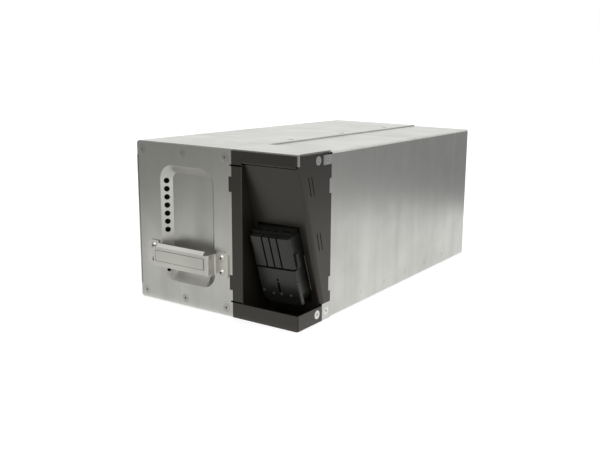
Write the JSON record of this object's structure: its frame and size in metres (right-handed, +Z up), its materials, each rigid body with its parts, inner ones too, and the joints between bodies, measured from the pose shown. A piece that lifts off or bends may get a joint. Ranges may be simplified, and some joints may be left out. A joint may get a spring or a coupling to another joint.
{
  "type": "ups battery cartridge",
  "caption": "Galvanised sheet-steel battery cartridge with a pressed hand recess and pull handle beside a black corner bay whose leaning wall carries the battery connector.",
  "frame": {"origin": "middle of the case's underside", "axes": "+X to the case's right seen from the handle end, +Y from the handle end to the rear, +Z up"},
  "size_m": [0.19, 0.3673, 0.155],
  "materials": {
    "battery_case": "moulded",
    "black_steel": "semi-matt black powder coat",
    "contact_metal": "tin plated",
    "foam": "closed-cell foam",
    "galvanised": "galvanised, satin",
    "handle_steel": "plated, satin",
    "liner_sheet": "insulating sheet",
    "plug_plastic": "moulded, slightly glossy",
    "zinc_fasteners": "zinc plated, bright"
  },
  "bodies": {
    "root": {"battery_1": "battery_case", "battery_2": "battery_case", "battery_3": "battery_case", "battery_4": "battery_case", "battery_5": "battery_case", "battery_6": "battery_case", "battery_7": "battery_case", "battery_8": "battery_case", "bay_back_panel": "black_steel", "bay_frame": "black_steel", "bay_screws": "zinc_fasteners", "case_wrap_left": "galvanised", "case_wrap_right": "galvanised", "connector_bracket": "black_steel", "connector_contacts": "contact_metal", "connector_housing": "plug_plastic", "connector_screws": "zinc_fasteners", "ear_screws": "zinc_fasteners", "end_pads": "foam", "foam_pads": "foam", "front_plate": "galvanised", "front_screws": "zinc_fasteners", "handle": "handle_steel", "handle_rivets": "zinc_fasteners", "insulating_liner": "liner_sheet", "rear_panel": "galvanised", "rear_screws": "zinc_fasteners", "seam_screws": "zinc_fasteners"}
  },
  "joints": []
}
